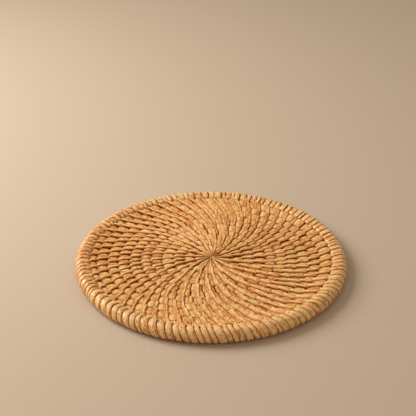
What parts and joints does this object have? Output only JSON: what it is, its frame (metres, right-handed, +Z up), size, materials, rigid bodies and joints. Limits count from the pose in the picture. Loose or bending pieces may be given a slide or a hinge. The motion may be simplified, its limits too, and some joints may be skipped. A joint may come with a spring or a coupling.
{
  "type": "rattan placemat",
  "caption": "Round coiled rattan placemat with swirling raised rays and a thick wrapped hoop round its edge.",
  "frame": {"origin": "on the surface the mat lies on, under the centre of the mat", "axes": "+Z up out of the woven top face, through the centre where the rays meet; X and Y lie in the mat"},
  "size_m": [0.3, 0.3, 0.0165],
  "materials": {
    "coiled_rattan": "natural split rattan, satin, unpainted",
    "rattan_wrap": "natural flat rattan peel, satin, unpainted"
  },
  "bodies": {
    "root": {"woven_field": "coiled_rattan", "wrapped_hoop": "rattan_wrap"}
  },
  "joints": []
}
